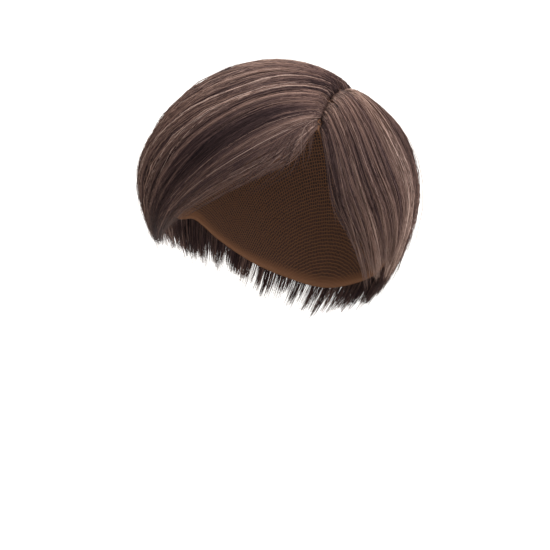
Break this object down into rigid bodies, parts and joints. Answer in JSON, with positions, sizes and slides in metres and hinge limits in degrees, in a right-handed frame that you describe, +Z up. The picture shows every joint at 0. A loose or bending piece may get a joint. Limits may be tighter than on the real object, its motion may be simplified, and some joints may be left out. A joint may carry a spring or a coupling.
{
  "type": "wig",
  "caption": "Short wig with a low side parting: a thin net cap carries hair swept over the top into a slanting fringe and combed down the sides and back to the nape.",
  "frame": {"origin": "inside of the cap at the crown, where it bears on the top of the head", "axes": "+Z up along the head, -Y the way the wearer faces, +X towards the wearer's left"},
  "size_m": [0.1831, 0.2205, 0.1852],
  "materials": {
    "cap_net": "fine amber-brown net, matt",
    "hair": "combed dark brown hair, soft sheen"
  },
  "bodies": {
    "root": {"cap": "cap_net", "fringe": "hair", "top_sweep": "hair", "right_side": "hair", "back": "hair", "left_side": "hair"}
  },
  "joints": []
}
